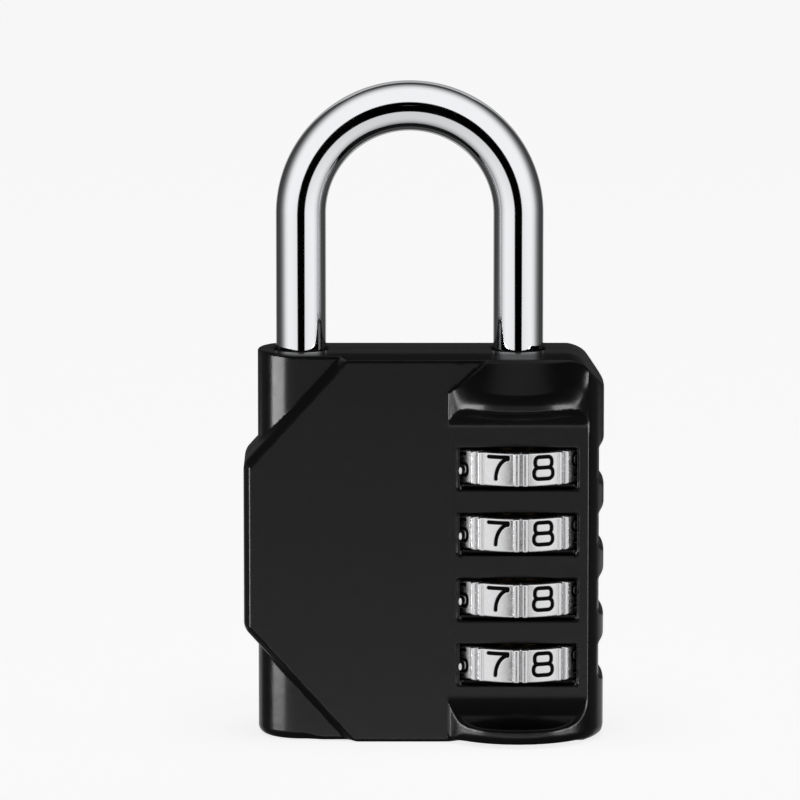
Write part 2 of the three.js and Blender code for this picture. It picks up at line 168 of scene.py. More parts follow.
def front_of_dials(x, y, z, depth):
    """Plates, hood and foot: how far the front and rear stand out, over the dials and beside them."""
    face = depth - PLATE_Y
    disc = np.hypot(np.minimum(x - axis_x, 0), y) - BULGE_RADIUS
    right = rounded_cut(np.hypot(np.maximum(x - axis_x, 0), y) - BULGE_RADIUS, x - CASE_RIGHT, 0.3)
    plan = np.maximum(rounded_join(face, disc, 0.45), right)

    flat = rounded_join(face, HOOD_UNDERSIDE_Z - z, HOOD_ROOT)
    flat = np.minimum(flat, rounded_join(face, z - FOOT_LEDGE_Z, FOOT_ROOT))
    sharp, blunt = 0.02, 0.38  # edge radii: left end and window band, hood and foot
    beside_dials = ramp(z, 3, 6.5) * ramp(-z, -40.5, -37.5)
    edge = sharp + ramp(x, 3.1, 4.6) * (blunt - 0.37 * beside_dials)
    shape = rounded_cut(plan, flat, edge)

    bulge_depth = np.sqrt(np.maximum(BULGE_RADIUS**2 - (x - axis_x) ** 2, PLATE_Y**2))
    fall = np.maximum((PLATE_TOP_Z - z) / (PLATE_TOP_Z - HOOD_SHOULDER_Z), 0)
    slope = depth - PLATE_Y - fall * (bulge_depth - PLATE_Y)
    steepness = (bulge_depth - PLATE_Y) / (PLATE_TOP_Z - HOOD_SHOULDER_Z)
    slope = slope / np.hypot(1, steepness)
    meets_plate = ramp(x, 18, 19.6)
    shape = rounded_cut(shape, slope, sharp + edge * 1.3 * (1 - meets_plate))

    shoulder = -beside(x, z, *HOOD_LEFT_SHOULDER)
    shape = rounded_cut(shape, np.minimum(shoulder, face), edge * 0.5)
    heel = rounded_cut(FOOT_HEEL_X - x, -z, FOOT_HEEL_RADIUS)
    return rounded_cut(shape, rounded_join(heel, face, 0.2), sharp + 0.5 * ramp(x, 3, 4.5))


def case_outside(x, y, z):
    """The whole case from outside, front and rear alike, without its openings."""
    depth = np.abs(y)
    column = np.hypot(x - SHORT_LEG_X, y) - COLUMN_RADIUS
    core = block(x, depth, z, (SHORT_LEG_X, None, None), (axis_x, CORE_Y, None))
    sides = np.minimum(column, core)

    edge = plate_edge(x, z)
    bevel = (depth - PLATE_Y) * PLATE_BEVEL_RUN + (edge + PLATE_BEVEL_RUN) * PLATE_BEVEL_RISE
    bevel = bevel / math.hypot(PLATE_BEVEL_RUN, PLATE_BEVEL_RISE)
    plate = front_of_dials(x, y, z, depth)
    plate = rounded_cut(plate, rounded_cut(bevel, edge, 0.2), 0.18)
    body = rounded_join(sides, plate, 0.3)

    top = z - CASE_TOP
    gentle = beside(depth, z, (TOP_FLAT_Y, CASE_TOP), (PLATE_Y, PLATE_TOP_Z))
    right_shoulder = beside(x, z, *RIGHT_SHOULDER)
    top = rounded_cut(rounded_cut(top, gentle, 0.12), right_shoulder, 1.1)
    body = rounded_cut(body, top, 0.25)
    foot_radius = 0.45 + 0.6 * ramp(-x, 12, 15) + 1.1 * ramp(x, 2.6, 5)
    return rounded_cut(body, -z, foot_radius)


def side_reliefs(x, z):
    """The finger reliefs down the right side: a flat floor and slanted ends."""
    floor = CASE_RIGHT - RELIEF_DEPTH
    cuts = []
    for height in dial_heights:
        away = np.abs(z - height)
        ends = beside(x, away, (floor, RELIEF_FLOOR_HALF), (CASE_RIGHT, RELIEF_HALF))
        cuts.append(rounded_cut(floor - x, ends, 0.15))
    return np.minimum.reduce(cuts)


def windows(x, y, z):
    """Each dial's chamber, its openings front and rear, the land round them and the slot at the side."""
    depth = np.abs(y)
    reach = np.hypot(x - axis_x, y)
    opening = math.sqrt(CHAMBER_RADIUS**2 - LAND_Y**2)
    cuts = []
    for height in dial_heights:
        low, high = height - WINDOW_BELOW_DIAL, height + CHAMBER_HALF_HEIGHT
        chamber = np.maximum(reach - CHAMBER_RADIUS, np.abs(z - height) - CHAMBER_HALF_HEIGHT)
        land = rounded_cut(
            np.maximum(WINDOW_LEFT - x, x - WINDOW_RIGHT), np.maximum(low - z, z - high), 0.4
        )
        land = np.maximum(land, LAND_Y - depth)
        through = block(
            x, depth, z, (axis_x - opening, PLATE_Y - 1.3, low), (axis_x + opening, None, high)
        )
        slot_low, slot_high = height - SIDE_SLOT_HALF_HEIGHT, height + SIDE_SLOT_HALF_HEIGHT
        slot = block(x, depth, z, (axis_x + 5, None, slot_low), (None, SIDE_SLOT_Y, slot_high))
        cuts.append(np.minimum.reduce(np.broadcast_arrays(chamber, land, through, slot)))
    return np.minimum.reduce(cuts)


def case_field(side):
    """One half of the case: side -1 is the front, +1 the rear."""
    below_leg, gap = 0.4, 0.3
    bore_floor = short_leg_end() - below_leg
    rivets = [box_mm(f"case_rivet_{i}") for i in range(1, 5)]
    comb_rivets = [box_mm(f"detent_rivet_{i}") for i in (1, 2)]
    comb_low, comb_high = box_mm("detent_spring")

    def field(x, y, z):
        body = rounded_cut(case_outside(x, y, z), -side_reliefs(x, z), 0.3)
        body = rounded_cut(body, -windows(x, y, z), 0.12)
        long_bore = np.hypot(x - axis_x, y) - LEG_BORE
        long_bore = np.maximum(long_bore, FLOOR_Z - z)
        short_bore = np.hypot(x - SHORT_LEG_X, y) - LEG_BORE
        short_bore = np.maximum(short_bore, bore_floor - z)
        body = rounded_cut(body, -np.minimum(long_bore, short_bore), 0.35)
        tunnel_ends = np.maximum(FLOOR_Z - z, z - TUNNEL_TOP_Z)
        tunnel = np.maximum(np.hypot(x - axis_x, y) - TUNNEL_RADIUS, tunnel_ends)
        hollow = block(x, np.abs(y), z, *INNER_HOLLOW)
        body = np.maximum(body, -np.minimum(tunnel, hollow))

        if side > 0:
            for low, high in comb_rivets:
                middle = (low + high) / 2
                away = np.hypot(x - middle[0], z - middle[2])
                boss_ends = np.maximum(comb_high[1] - 0.1 - y, y - COMB_BOSS_BACK_Y)
                body = np.minimum(body, np.maximum(away - COMB_BOSS_RADIUS, boss_ends))
                body = np.maximum(body, -np.maximum(away - COMB_RIVET_HOLE, y - high[1] - 0.2))
            for height in dial_heights:
                low_z, high_z = height - FINGER_SLOT_HALF_HEIGHT, height + FINGER_SLOT_HALF_HEIGHT
                slot_low = (FINGER_SLOT_X[0], comb_low[1] - 0.4, low_z)
                slot_high = (FINGER_SLOT_X[1], comb_high[1] + 0.4, high_z)
                body = np.maximum(body, -block(x, y, z, slot_low, slot_high))
        for low, high in rivets:
            middle = (low + high) / 2
            away = np.hypot(x - middle[0], z - middle[2])
            shank = np.maximum(away - PIN_HOLE_RADIUS, low[1] - gap - y)
            head = np.maximum(away - (high[0] - low[0]) / 2 - 0.15, PLATE_Y - PIN_HEAD_SEAT - y)
            body = rounded_cut(body, -np.minimum(shank, head), 0.12)
        return rounded_cut(body, -side * y, 0.14)

    return field


def short_leg_end():
    """The height of the short leg's end, from the lift that just frees it."""
    clear_above_case = 0.3
    return CASE_TOP + clear_above_case - joints["shackle_lift"]["range_m"][1] / MM


def shackle_field(x, y, z):
    """The bow, the short leg, and the long leg with its thinner tail, its ring groove and its four teeth."""
    leg_end, shoulder = short_leg_end(), 40.0
    tail_radius, tooth_reach, tooth_half_width = 2.2, 2.9, 0.8
    tooth_below_dial, tooth_height = 2.1, 1.2
    arc = np.hypot(np.hypot(x - BOW_X, z - BOW_Z) - BOW_RADIUS, y)
    legs = np.minimum(np.hypot(x - SHORT_LEG_X, y), np.hypot(x - axis_x, y))
    rod = np.where(z > BOW_Z, arc, legs) - ROD_RADIUS
    end = np.where(x < BOW_X, leg_end, shoulder)
    rod = rounded_cut(rod, end - z, 0.6)
    from_axis = np.hypot(x - axis_x, y)
    ring_low, ring_high = box_mm("stop_ring")
    tail = rounded_cut(from_axis - tail_radius, shackle_low[2] - z, 0.5)
    tail = np.maximum(tail, z - shoulder - 1)
    groove = np.maximum(np.abs(z - (ring_low[2] + ring_high[2]) / 2) - 0.5, 1.7 - from_axis)
    tail = np.maximum(tail, -groove)
    teeth = []
    for height in dial_heights:
        foot = height - tooth_below_dial
        low = (axis_x - tooth_half_width, 0, foot)
        high = (axis_x + tooth_half_width, tooth_reach, foot + tooth_height)
        teeth.append(block(x, y, z, low, high))
    tail = np.minimum(tail, np.minimum.reduce(np.broadcast_arrays(*teeth)))
    return rounded_join(rod, tail, 0.3)


# ---- Fields to meshes ----


def gradient(field, points, reach=0.02):
    """The field's slope at each point, by central differences."""
    slopes = []
    for axis in range(3):
        shift = np.zeros(3)
        shift[axis] = reach
        slopes.append(field(*(points + shift).T) - field(*(points - shift).T))
    return np.stack(slopes, 1) / (2 * reach)


def grid_line(low, high, step, fine_at=None):
    """Grid places from low to high, closer together near fine_at."""
    places = np.arange(low - 2 * step, high + 2.5 * step, step)
    if fine_at is None:
        return places
    near = np.array([-0.35, -0.22, -0.12, -0.04, 0.04, 0.12, 0.22, 0.35])
    places = places[np.abs(places - fine_at) > 0.45]
    return np.sort(np.concatenate([places, fine_at + near]))


def net(field, axes):
    """A closed mesh of quads over the field's zero surface: one vertex in each grid cell that it crosses."""
    x, y, z = np.meshgrid(*axes, indexing="ij", sparse=True)
    shape = tuple(len(places) for places in axes)
    values = np.broadcast_to(field(x, y, z), shape)
    inside = values < 0
    corners = list(itertools.product((0, 1), repeat=3))
    spans = [slice(0, n - 1) for n in shape]
    count = np.zeros([n - 1 for n in shape], np.int8)
    for corner in corners:
        count += inside[tuple(slice(s.start + c, s.stop + c) for s, c in zip(spans, corner))]
    cells = np.argwhere((count > 0) & (count < 8))
    index = np.full(count.shape, -1)
    index[tuple(cells.T)] = np.arange(len(cells))

    at_corner = {c: values[tuple((cells + c).T)] for c in corners}
    total, crossings = np.zeros((len(cells), 3)), np.zeros(len(cells))
    for start, end in itertools.combinations(corners, 2):
        if sum(np.abs(np.subtract(end, start))) != 1:
            continue
        a, b = at_corner[start], at_corner[end]
        crosses = (a < 0) != (b < 0)
        share = np.where(crosses, a / np.where(crosses, a - b, 1), 0)
        place = np.array(start) + share[:, None] * np.subtract(end, start)
        total += np.where(crosses[:, None], place, 0)
        crossings += crosses
    spots = cells + total / crossings[:, None]
    points = np.stack([np.interp(spots[:, i], np.arange(shape[i]), axes[i]) for i in range(3)], 1)

    quads = []
    for axis in range(3):
        u, v = (axis + 1) % 3, (axis + 2) % 3
        here = [slice(1, n - 1) for n in shape]
        here[axis] = slice(0, shape[axis] - 1)
        there = list(here)
        there[axis] = slice(1, shape[axis])
        first, second = inside[tuple(here)], inside[tuple(there)]
        for outward, mask in ((True, first & ~second), (False, second & ~first)):
            at = np.argwhere(mask) + [s.start for s in here]
            ring = [(-1, -1), (0, -1), (0, 0), (-1, 0)]
            if not outward:
                ring.reverse()
            columns = []
            for du, dv in ring:
                cell = at.copy()
                cell[:, u] += du
                cell[:, v] += dv
                columns.append(index[tuple(cell.T)])
            quads.append(np.stack(columns, 1))
    return points, np.concatenate(quads)


def settle(field, points, step):
    """Moves a net's vertices onto the surface."""
    for _ in range(3):
        slope = gradient(field, points)
        steep = np.maximum((slope**2).sum(1), 0.05)
        move = -(field(*points.T) / steep)[:, None] * slope
        size = np.linalg.norm(move, axis=1, keepdims=True)
        points = points + move * np.minimum(1, 0.5 * step / np.maximum(size, 1e-9))
    return points


def mesh_object(name, points, faces, normals=None, attributes=None):
    """An object from points in millimetres."""
    mesh = bpy.data.meshes.new(name)
    mesh.vertices.add(len(points))
    mesh.vertices.foreach_set("co", (np.asarray(points) * MM).astype(np.float32).ravel())
    faces = np.asarray(faces)
    mesh.loops.add(faces.size)
    mesh.loops.foreach_set("vertex_index", faces.ravel().astype(np.int32))
    mesh.polygons.add(len(faces))
    mesh.polygons.foreach_set("loop_start", np.arange(0, faces.size, faces.shape[1], dtype=np.int32))
    mesh.update(calc_edges=True)
    mesh.polygons.foreach_set("use_smooth", np.ones(len(faces), bool))
    for key, values in (attributes or {}).items():
        layer = mesh.attributes.new(key, "FLOAT", "POINT")
        layer.data.foreach_set("value", np.asarray(values, np.float32))
    if normals is not None:
        mesh.normals_split_custom_set_from_vertices(normals.astype(np.float32))
    obj = bpy.data.objects.new(name, mesh)
    bpy.context.scene.collection.objects.link(obj)
    return obj


def plain_object(name, vertices, faces):
    """A smooth-shaded object from points in metres."""
    mesh = bpy.data.meshes.new(name)
    mesh.from_pydata(vertices, [], faces)
    mesh.polygons.foreach_set("use_smooth", np.ones(len(faces), bool))
    mesh.update()
    obj = bpy.data.objects.new(name, mesh)
    bpy.context.scene.collection.objects.link(obj)
    return obj


def field_object(name, field, axes, step):
    """The field's surface as a smooth object, with how sharply each point stands out as 'edge'."""
    points, quads = net(field, axes)
    points = settle(field, points, step)
    slope = gradient(field, points)
    normals = slope / np.maximum(np.linalg.norm(slope, axis=1, keepdims=True), 1e-9)
    reach = 0.15
    aside = reach * normals[:, [1, 2, 0]]
    around_it = field(*(points + aside).T) + field(*(points - aside).T)
    sharpness = np.clip(around_it / reach, -1, 1)
    return mesh_object(name, points, quads, normals, {"edge": sharpness})


# ---- Dials ----

DIGIT_HALF_WIDTH, DIGIT_HALF_HEIGHT, STROKE_HALF_WIDTH = 1.26, 1.35, 0.25
DIAL_REST_TURN = math.radians(1.7)
DIGIT_LIFT = 0.2


def arc_points(centre, radii, start, end, steps=10):
    """Points round an ellipse's arc, its angles in degrees."""
    angles = np.radians(np.linspace(start, end, steps + 1))
    return [(centre[0] + radii[0] * math.cos(a), centre[1] + radii[1] * math.sin(a)) for a in angles]


def loop(left, right, bottom, top, radius):
    """A closed rounded oblong."""
    corners = (
        ((right - radius, top - radius), 0),
        ((left + radius, top - radius), 90),
        ((left + radius, bottom + radius), 180),
        ((right - radius, bottom + radius), 270),
    )
    points = []
    for centre, start in corners:
        points += arc_points(centre, (radius, radius), start, start + 90, 5)
    return points + points[:1]


def digit_strokes(digit):
    """The pen strokes of a plain numeral, centred, in millimetres."""
    w, h = DIGIT_HALF_WIDTH, DIGIT_HALF_HEIGHT
    bowl = 0.62
    six = [
        loop(-w, w, -h, 0.16, bowl),
        arc_points((w * 0.75, -0.3), (w * 1.75, h + 0.3), 180, 92),
    ]
    strokes = {
        0: [loop(-w, w, -h, h, 0.85)],
        1: [[(-0.6, h - 0.55), (0.15, h), (0.15, -h)]],
        2: [arc_points((0, h - 0.75), (w, 0.75), 170, -30) + [(-w, -h), (w, -h)]],
        3: [
            arc_points((0, h - 0.6), (w * 0.92, 0.6), 160, -90),
            arc_points((0, -h + 0.62), (w, 0.62), 90, -160),
        ],
        4: [[(0.45, -h), (0.45, h), (-w, -0.5), (w, -0.5)]],
        5: [
            [(w * 0.85, h), (-w * 0.85, h), (-w, 0.1)]
            + arc_points((-0.1, -h + 0.78), (w + 0.05, 0.78), 110, -150)
        ],
        6: six,
        7: [
            [(-w, h), (w, h), (w * 0.98, h - 0.25)]
            + arc_points((w * 1.25, -h), (w * 1.5, h * 1.9), 100, 180)
        ],
        8: [loop(-w * 0.88, w * 0.88, 0.03, h, 0.5), loop(-w, w, -h, 0.03, 0.58)],
        9: [[(-x, -y) for x, y in stroke] for stroke in six],
    }
    return strokes[digit]


def stroke_distance(u, v, strokes):
    """Distance from points to the edge of the pen strokes, negative in the ink."""
    best = np.full(u.shape, 9.0)
    for stroke in strokes:
        for (x0, y0), (x1, y1) in zip(stroke, stroke[1:]):
            dx, dy = x1 - x0, y1 - y0
            share = np.clip(((u - x0) * dx + (v - y0) * dy) / max(dx * dx + dy * dy, 1e-9), 0, 1)
            best = np.minimum(best, np.hypot(u - x0 - share * dx, v - y0 - share * dy))
    return best - STROKE_HALF_WIDTH


def dial_surface(angle, height):
    """The dial's rim: its radius and the ink's distance at each angle and height."""
    pitch = 2 * math.pi / 10
    angle = angle - DIAL_REST_TURN
    from_joint = (angle + math.pi / 2 + pitch / 2) % pitch - pitch / 2
    across = np.abs(from_joint) * DIAL_RADIUS
    groove = 0.4 * (1 - ramp(across, 0.1, 0.22))
    crown = 0.1 * np.clip(np.abs(across - 0.54) / 0.38, 0, 1) ** 2
    step = ramp(across, 0.86, 0.98)
    radius = DIAL_RADIUS - groove - crown * (1 - step) - 0.24 * step
    ink = np.full(np.broadcast(angle, height).shape, 9.0)
    for digit in range(10):
        middle = math.radians(-72 + 36 * (digit - 8))
        off = (angle - middle + math.pi) % (2 * math.pi) - math.pi
        near = np.broadcast_to(np.abs(off) < pitch / 2, ink.shape)
        u = np.broadcast_to(off * DIAL_RADIUS, ink.shape)[near]
        v = np.broadcast_to(height - DIGIT_LIFT, ink.shape)[near]
        ink[near] = np.minimum(ink[near], stroke_distance(u, v, digit_strokes(digit)))
    sunk = 0.1 * (1 - ramp(ink, -0.08, 0.03))
    rim = DIAL_HALF_HEIGHT - np.abs(height)
    rounding = 0.22
    chamfer = rounding - np.sqrt(np.maximum(rounding**2 - np.maximum(rounding - rim, 0) ** 2, 0))
    return radius - sunk - chamfer, ink


def bore_radius(angle):
    """The dial's keyed bore."""
    pitch = 2 * math.pi / 10
    off = np.abs((angle + pitch / 2) % pitch - pitch / 2) * 4.5
    return 4.35 + 0.4 * (1 - ramp(off, 0.62, 0.7))


def dial_mesh(quick):
    """One dial about its own axis and middle: a closed ring of quads."""
    turns = 360 if quick else 1200
    rows = 24 if quick else 64
    angle = np.linspace(0, 2 * math.pi, turns, endpoint=False)[None, :]
    spread = np.linspace(-1, 1, rows)[:, None]
    height = DIAL_HALF_HEIGHT * np.sign(spread) * (1 - (1 - np.abs(spread)) ** 1.12)
    radius, ink = dial_surface(angle, height)
    bore = np.broadcast_to(bore_radius(angle), (1, turns))
    half = DIAL_HALF_HEIGHT
    rings = [(radius[i : i + 1], height[i, 0], ink[i : i + 1]) for i in range(rows)]
    # The flat faces and bore get an ink value of -1, which the material turns black: painted shade, as if they lay
    # in the dark of the narrow gap round the dial.
    painted_shade = np.full((1, turns), -1.0)
    for share in (0.25, 0.6):
        rings.append((radius[-1:] * (1 - share) + bore * share, half, painted_shade))
    rings.append((bore + 0.15, half, painted_shade))
    rings.append((bore, half - 0.15, painted_shade))
    rings.append((bore, 0.15 - half, painted_shade))
    rings.append((bore + 0.15, -half, painted_shade))
    for share in (0.6, 0.25):
        rings.append((radius[:1] * (1 - share) + bore * share, -half, painted_shade))
    radii = np.concatenate([ring[0] for ring in rings])
    heights = np.array([ring[1] for ring in rings])[:, None] * np.ones((1, turns))
    ink_and_painted_shade = np.concatenate([ring[2] for ring in rings])
    points = np.stack([radii * np.cos(angle), radii * np.sin(angle), heights], 2).reshape(-1, 3)
    row, column = np.meshgrid(np.arange(len(rings)), np.arange(turns), indexing="ij")
    next_row, next_column = (row + 1) % len(rings), (column + 1) % turns
    corners = ((row, column), (row, next_column), (next_row, next_column), (next_row, column))
    quads = np.stack([i * turns + j for i, j in corners], 2).reshape(-1, 4)
    return points, quads, ink_and_painted_shade.ravel()


# ---- Round small parts ----


def lathe_object(name, profile, place, stretch=(1, 1, 1), sides=48):
    """A turned piece along Y from (radius, along) points that start and end on the axis, in millimetres."""
    radii, along = np.array(profile[1:-1]).T
    angle = np.linspace(0, 2 * math.pi, sides, endpoint=False)
    rings = len(radii)
    depths = np.outer(along, np.ones(sides))
    points = np.stack([np.outer(radii, np.cos(angle)), depths, -np.outer(radii, np.sin(angle))], 2)
    points = np.concatenate([points.reshape(-1, 3), [[0, profile[0][1], 0], [0, profile[-1][1], 0]]])
    points = points * stretch + place
    faces = []
    for i, j in itertools.product(range(rings - 1), range(sides)):
        k = (j + 1) % sides
        faces.append((i * sides + j, i * sides + k, (i + 1) * sides + k, (i + 1) * sides + j))
    foot, tip = rings * sides, rings * sides + 1
    for j in range(sides):
        k = (j + 1) % sides
        faces.append((foot, k, j))
        faces.append((tip, (rings - 1) * sides + j, (rings - 1) * sides + k))
    return plain_object(name, (points * MM).tolist(), faces)


# ---- Materials ----


class Finish:
    """A node material with one principled shader and short calls for the nodes behind it."""

    def __init__(self, name, colour, metallic, roughness, specular=0.5):
        self.material = bpy.data.materials.new(name)
        self.material.use_nodes = True
        self.material.diffuse_color = (*colour, 1)
        self.tree = self.material.node_tree
        self.shader = self.tree.nodes["Principled BSDF"]
        self.set("Base Color", (*colour, 1))
        self.set("Metallic", metallic)
        self.set("Roughness", roughness)
        self.set("Specular IOR Level", specular)
        self.place = self.tree.nodes.new("ShaderNodeTexCoord").outputs["Object"]

    def set(self, socket, value):
        self.shader.inputs[socket].default_value = value

    def link(self, output, node_or_shader, socket):
        self.tree.links.new(output, node_or_shader.inputs[socket])

    def noise(self, scale, detail=3, rough=0.5, stretch=None):
        node = self.tree.nodes.new("ShaderNodeTexNoise")
        node.inputs["Scale"].default_value = scale
        node.inputs["Detail"].default_value = detail
        node.inputs["Roughness"].default_value = rough
        source = self.place
        if stretch:
            mapping = self.tree.nodes.new("ShaderNodeMapping")
            mapping.inputs["Scale"].default_value = stretch
            self.link(source, mapping, "Vector")
            source = mapping.outputs["Vector"]
        self.link(source, node, "Vector")
        return node.outputs["Fac"]

    def attribute(self, key):
        node = self.tree.nodes.new("ShaderNodeAttribute")
        node.attribute_name = key
        return node.outputs["Fac"]

    def scaled(self, source, from_low, from_high, to_low, to_high):
        node = self.tree.nodes.new("ShaderNodeMapRange")
        names = ("From Min", "From Max", "To Min", "To Max")
        for key, value in zip(names, (from_low, from_high, to_low, to_high)):
            node.inputs[key].default_value = value
        self.link(source, node, "Value")
        return node.outputs["Result"]

    def maths(self, operation, a, b):
        node = self.tree.nodes.new("ShaderNodeMath")
        node.operation = operation
        for i, value in enumerate((a, b)):
            if isinstance(value, (int, float)):
                node.inputs[i].default_value = value
            else:
                self.tree.links.new(value, node.inputs[i])
        return node.outputs[0]

    def colours(self, factor, stops):
        node = self.tree.nodes.new("ShaderNodeValToRGB")
        ramp_stops = node.color_ramp.elements
        while len(ramp_stops) < len(stops):
            ramp_stops.new(0.5)
        for element, (place, colour) in zip(ramp_stops, stops):
            element.position = place
            element.color = (*colour, 1)
        self.link(factor, node, "Fac")
        return node.outputs["Color"]

    def bump(self, height, distance, strength=1.0, under=None):
        node = self.tree.nodes.new("ShaderNodeBump")
        node.inputs["Distance"].default_value = distance
        node.inputs["Strength"].default_value = strength
        self.link(height, node, "Height")
        if under:
            self.link(under, node, "Normal")
        return node.outputs["Normal"]


PAINT_COLOUR = (0.004, 0.004, 0.0042)


def black_paint():
    """Glossy black paint with a little orange peel, rubbed slightly dull along its edges."""
    finish = Finish("black_paint", PAINT_COLOUR, 0.0, 0.22, 0.16)
    rubbed = finish.scaled(finish.noise(420, 4), 0.45, 0.75, 0, 1)
    worn = finish.maths("MULTIPLY", finish.attribute("edge"), rubbed)
    colour = finish.colours(worn, [(0.0, PAINT_COLOUR), (0.6, (0.012, 0.012, 0.0125))])
    finish.link(colour, finish.shader, "Base Color")
    patchy = finish.scaled(finish.noise(600, 4), 0.3, 0.7, 0.19, 0.24)
    finish.link(finish.maths("ADD", patchy, finish.maths("MULTIPLY", worn, 0.2)), finish.shader, "Roughness")
    peel = finish.bump(finish.noise(650, 2), 0.000012)
    grain = finish.bump(finish.noise(5200, 2), 0.000003, under=peel)
    finish.link(grain, finish.shader, "Normal")
    return finish.material


def chrome():
    """Bright plating with a faint haze and fine scratches along the rod."""
    finish = Finish("chrome", (0.83, 0.84, 0.86), 1.0, 0.06)
    finish.set("Specular Tint", (0.5, 0.5, 0.5, 1))
    haze = finish.noise(160, 5)
    scratches = finish.noise(900, 3, stretch=(1, 1, 0.03))
    rough = finish.maths(
        "ADD", finish.scaled(haze, 0.35, 0.75, 0.045, 0.085), finish.scaled(scratches, 0.62, 0.75, 0, 0.04)
    )
    finish.link(rough, finish.shader, "Roughness")
    finish.link(finish.bump(scratches, 0.0000006), finish.shader, "Normal")
    return finish.material


def satin_silver():
    """The dials' satin plating, the black paint in their numerals, and painted shade: the same black on their flat
    faces and bore.
    """
    silver = (0.74, 0.74, 0.75)
    finish = Finish("satin_silver", silver, 1.0, 0.3)
    # Black where the numerals are printed, and painted shade on the flat faces and bore, whose 'ink' value of -1
    # turns them black, unmetallic and almost unreflective.
    ink_and_shade_mask = finish.scaled(finish.attribute("ink"), -0.03, 0.02, 1, 0)
    colour = finish.colours(ink_and_shade_mask, [(0.0, silver), (1.0, (0.003, 0.003, 0.003))])
    finish.link(colour, finish.shader, "Base Color")
    finish.link(finish.scaled(ink_and_shade_mask, 0, 1, 1, 0), finish.shader, "Metallic")
    finish.link(finish.scaled(ink_and_shade_mask, 0, 1, 0.5, 0.02), finish.shader, "Specular IOR Level")
    grain = finish.noise(1500, 4, 0.6)
    rough = finish.scaled(grain, 0.3, 0.7, 0.22, 0.36)
    rough = finish.maths("ADD", rough, finish.maths("MULTIPLY", ink_and_shade_mask, 0.15))
    finish.link(rough, finish.shader, "Roughness")
    cast = finish.bump(finish.noise(700, 3), 0.00002)
    finish.link(finish.bump(grain, 0.000006, under=cast), finish.shader, "Normal")
    return finish.material


def plain_metal(name, colour, roughness, scale=1800):
    """Bare machined or rolled metal, with fine grain."""
    finish = Finish(name, colour, 1.0, roughness)
    grain = finish.noise(scale, 4, 0.6, stretch=(1, 1, 4))
    darker = tuple(value * 0.8 for value in colour)
    mottled = finish.colours(finish.noise(350, 4), [(0.3, darker), (0.65, colour)])
    finish.link(mottled, finish.shader, "Base Color")
    finish.link(finish.scaled(grain, 0.3, 0.7, roughness * 0.75, roughness * 1.3), finish.shader, "Roughness")
    finish.link(finish.bump(grain, 0.000004), finish.shader, "Normal")
    return finish.material


def white_enamel():
    finish = Finish("white_enamel", (0.86, 0.86, 0.84), 0.0, 0.4)
    finish.link(finish.scaled(finish.noise(2500, 3), 0.3, 0.7, 0.3, 0.5), finish.shader, "Roughness")
    finish.link(finish.bump(finish.noise(3000, 2), 0.00001), finish.shader, "Normal")
    return finish.material


def pale_floor():
    finish = Finish("pale_floor", (0.9, 0.9, 0.9), 0.0, 0.9, 0.0)
    finish.set("Emission Color", (1, 1, 1, 1))
    finish.set("Emission Strength", 0.83)
    finish.link(finish.bump(finish.noise(400, 3), 0.00001), finish.shader, "Normal")
    return finish.material


# ---- The padlock ----


def fit(obj, body, material, nodes=()):
    """Gives a piece its material and its body, and hides the CAD nodes that it stands for."""
    obj.data.materials.clear()
    obj.data.materials.append(material)
    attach(obj, body)
    if nodes:
        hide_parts(*nodes)


def build_case(paint, step):
    made = []
    for side, name in ((-1, "front"), (1, "rear")):
        node = name + "_shell"
        low, high = box_mm(node)
        axes = [grid_line(low[i], high[i], step) for i in range(3)]
        axes[1] = grid_line(low[1], high[1], step, fine_at=0.0)
        obj = field_object(name + "_case", case_field(side), axes, step)
        fit(obj, "case", paint, [node])
        made.append(obj)
    return made


def build_shackle(metal, step):
    axes = [grid_line(shackle_low[i], shackle_high[i], step) for i in range(3)]
    obj = field_object("shackle_rod", shackle_field, axes, step)
    fit(obj, "shackle", metal, ["shackle"])
    return [obj]


def build_dials(metal, quick):
    points, quads, ink = dial_mesh(quick)
    made = []
    for name, height in zip(dial_names, dial_heights):
        # The 'ink' attribute holds the numerals' print and, on the flat faces and bore, painted shade.
        obj = mesh_object("number_" + name, points + [axis_x, 0, height], quads, attributes={"ink": ink})
        fit(obj, name, metal, [name])
        made.append(obj)
    return made


def build_rivets(paint):
    made = []
    for i in range(1, 5):
        node = f"case_rivet_{i}"
        low, high = box_mm(node)
        middle = (low + high) / 2
        radius, face, tip = (high[0] - low[0]) / 2, high[1], low[1]
        dome = [(radius * math.cos(a), 0.35 * math.sin(a)) for a in np.radians(np.linspace(0, 80, 7))]
        profile = [(0, tip), (0.8, tip), (0.95, tip + 0.2), (0.95, face - 0.7), (radius, face - 0.7)]
        profile += [(r, face - 0.35 + rise) for r, rise in dome] + [(0, face)]
        obj = lathe_object(f"case_pin_{i}", profile, (middle[0], 0, middle[2]))
        fit(obj, "case", paint, [node])
        made.append(obj)
    return made


def build_marks(enamel):
    made = []
    for i in range(1, 5):
        node = f"index_mark_{i}"
        low, high = box_mm(node)
        radius, height, back = (high[0] - low[0]) / 2, (high[2] - low[2]) / 2, high[1]
        dome = [(radius * math.cos(a), -0.12 * math.sin(a)) for a in np.radians(np.linspace(0, 80, 7))]
        profile = [(0, back)] + [(r, back + along) for r, along in dome] + [(0, back - 0.12)]
        middle = (low + high) / 2
        obj = lathe_object(
            f"index_dot_{i}", profile, (middle[0], 0, middle[2]), stretch=(1, 1, height / radius), sides=32
        )
        fit(obj, "case", enamel, [node])
        made.append(obj)
    return made


def dress_inner_parts(brass, steel):
    """The hidden CAD nodes keep their shape and get a metal."""
    made = []
    for name, obj in frame["nodes"].items():
        metal = {"brass": brass, "spring_steel": steel}.get(slot_of(name))
        if metal is None:
            continue
        obj.data.materials.clear()
        obj.data.materials.append(metal)
        made.append(obj)
    return made


